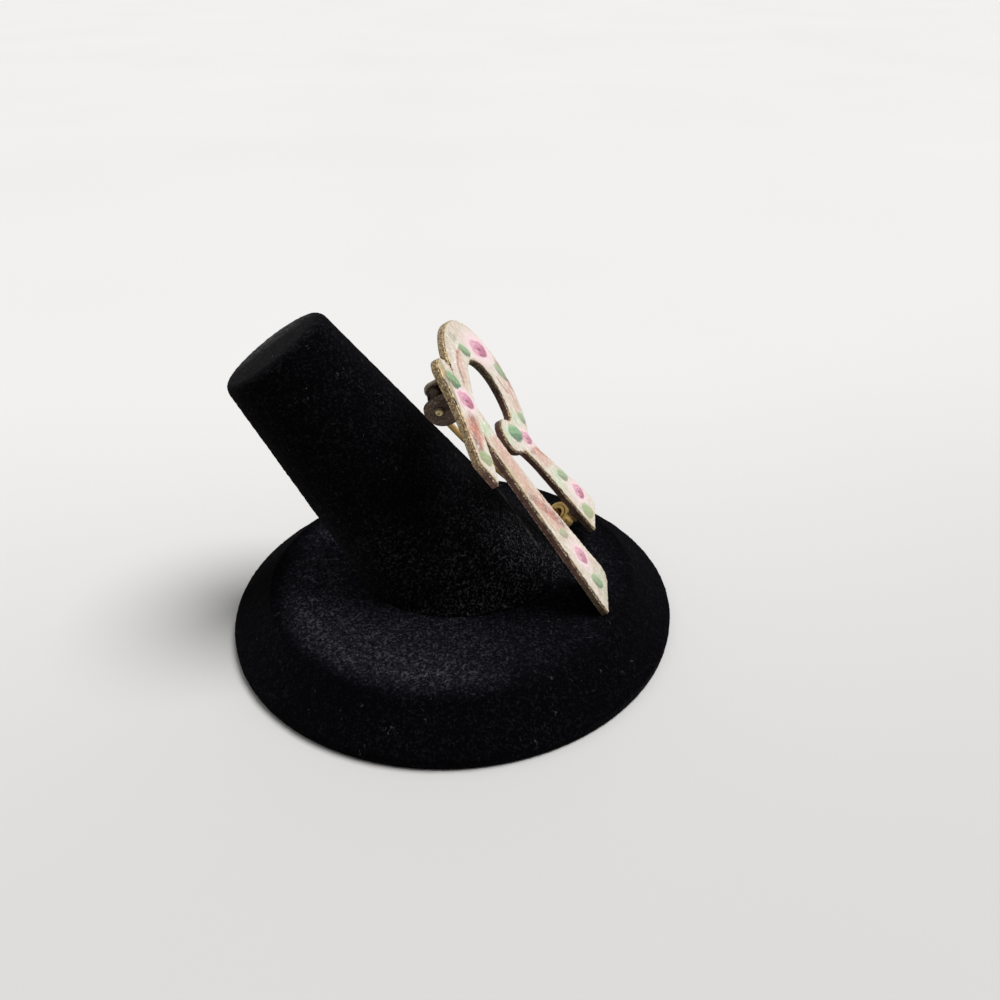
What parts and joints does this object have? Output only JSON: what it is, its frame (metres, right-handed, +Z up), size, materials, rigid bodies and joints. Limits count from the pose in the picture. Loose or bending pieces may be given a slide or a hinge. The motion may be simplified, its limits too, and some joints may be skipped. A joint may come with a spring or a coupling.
{
  "type": "letter brooch on a ring display stand",
  "caption": "Small enamelled metal letter brooch with painted roses, a hinged pin and a turning catch, leaning on a black flocked ring display stand.",
  "frame": {"origin": "centre of the stand's foot, on the surface it stands on", "axes": "+Z up; the post leans towards -X and the letter faces +X and up"},
  "size_m": [0.0508, 0.0508, 0.0352],
  "materials": {
    "flock_foot": "black flocking, worn greyer on the flat top",
    "flock_post": "black flocking",
    "letter_metal": "bronze-coloured, finely textured, tarnished",
    "enamel": "glossy cream enamel painted with roses and leaves",
    "rivet_brass": "polished",
    "pin_brass": "polished",
    "catch_brass": "polished"
  },
  "bodies": {
    "stand": {"stand_base": "flock_foot", "stand_post": "flock_post", "letter_frame": "letter_metal", "enamel_face": "enamel", "hinge_rivet": "rivet_brass"},
    "pin": {"pin_stem": "pin_brass"},
    "catch": {"catch_rotor": "catch_brass"}
  },
  "joints": [
    {"name": "pin_hinge", "type": "hinge", "parent": "stand", "child": "pin", "pos_m": [-0.00034, -0.00534, 0.02935], "axis": [-0.1529, 0.9189, 0.3636], "range_deg": [0, 6]},
    {"name": "catch_turn", "type": "hinge", "parent": "stand", "child": "catch", "pos_m": [0.01284, 0.00476, 0.00936], "axis": [0.5071, 0.3888, -0.7692], "range_deg": [0, 95]}
  ]
}
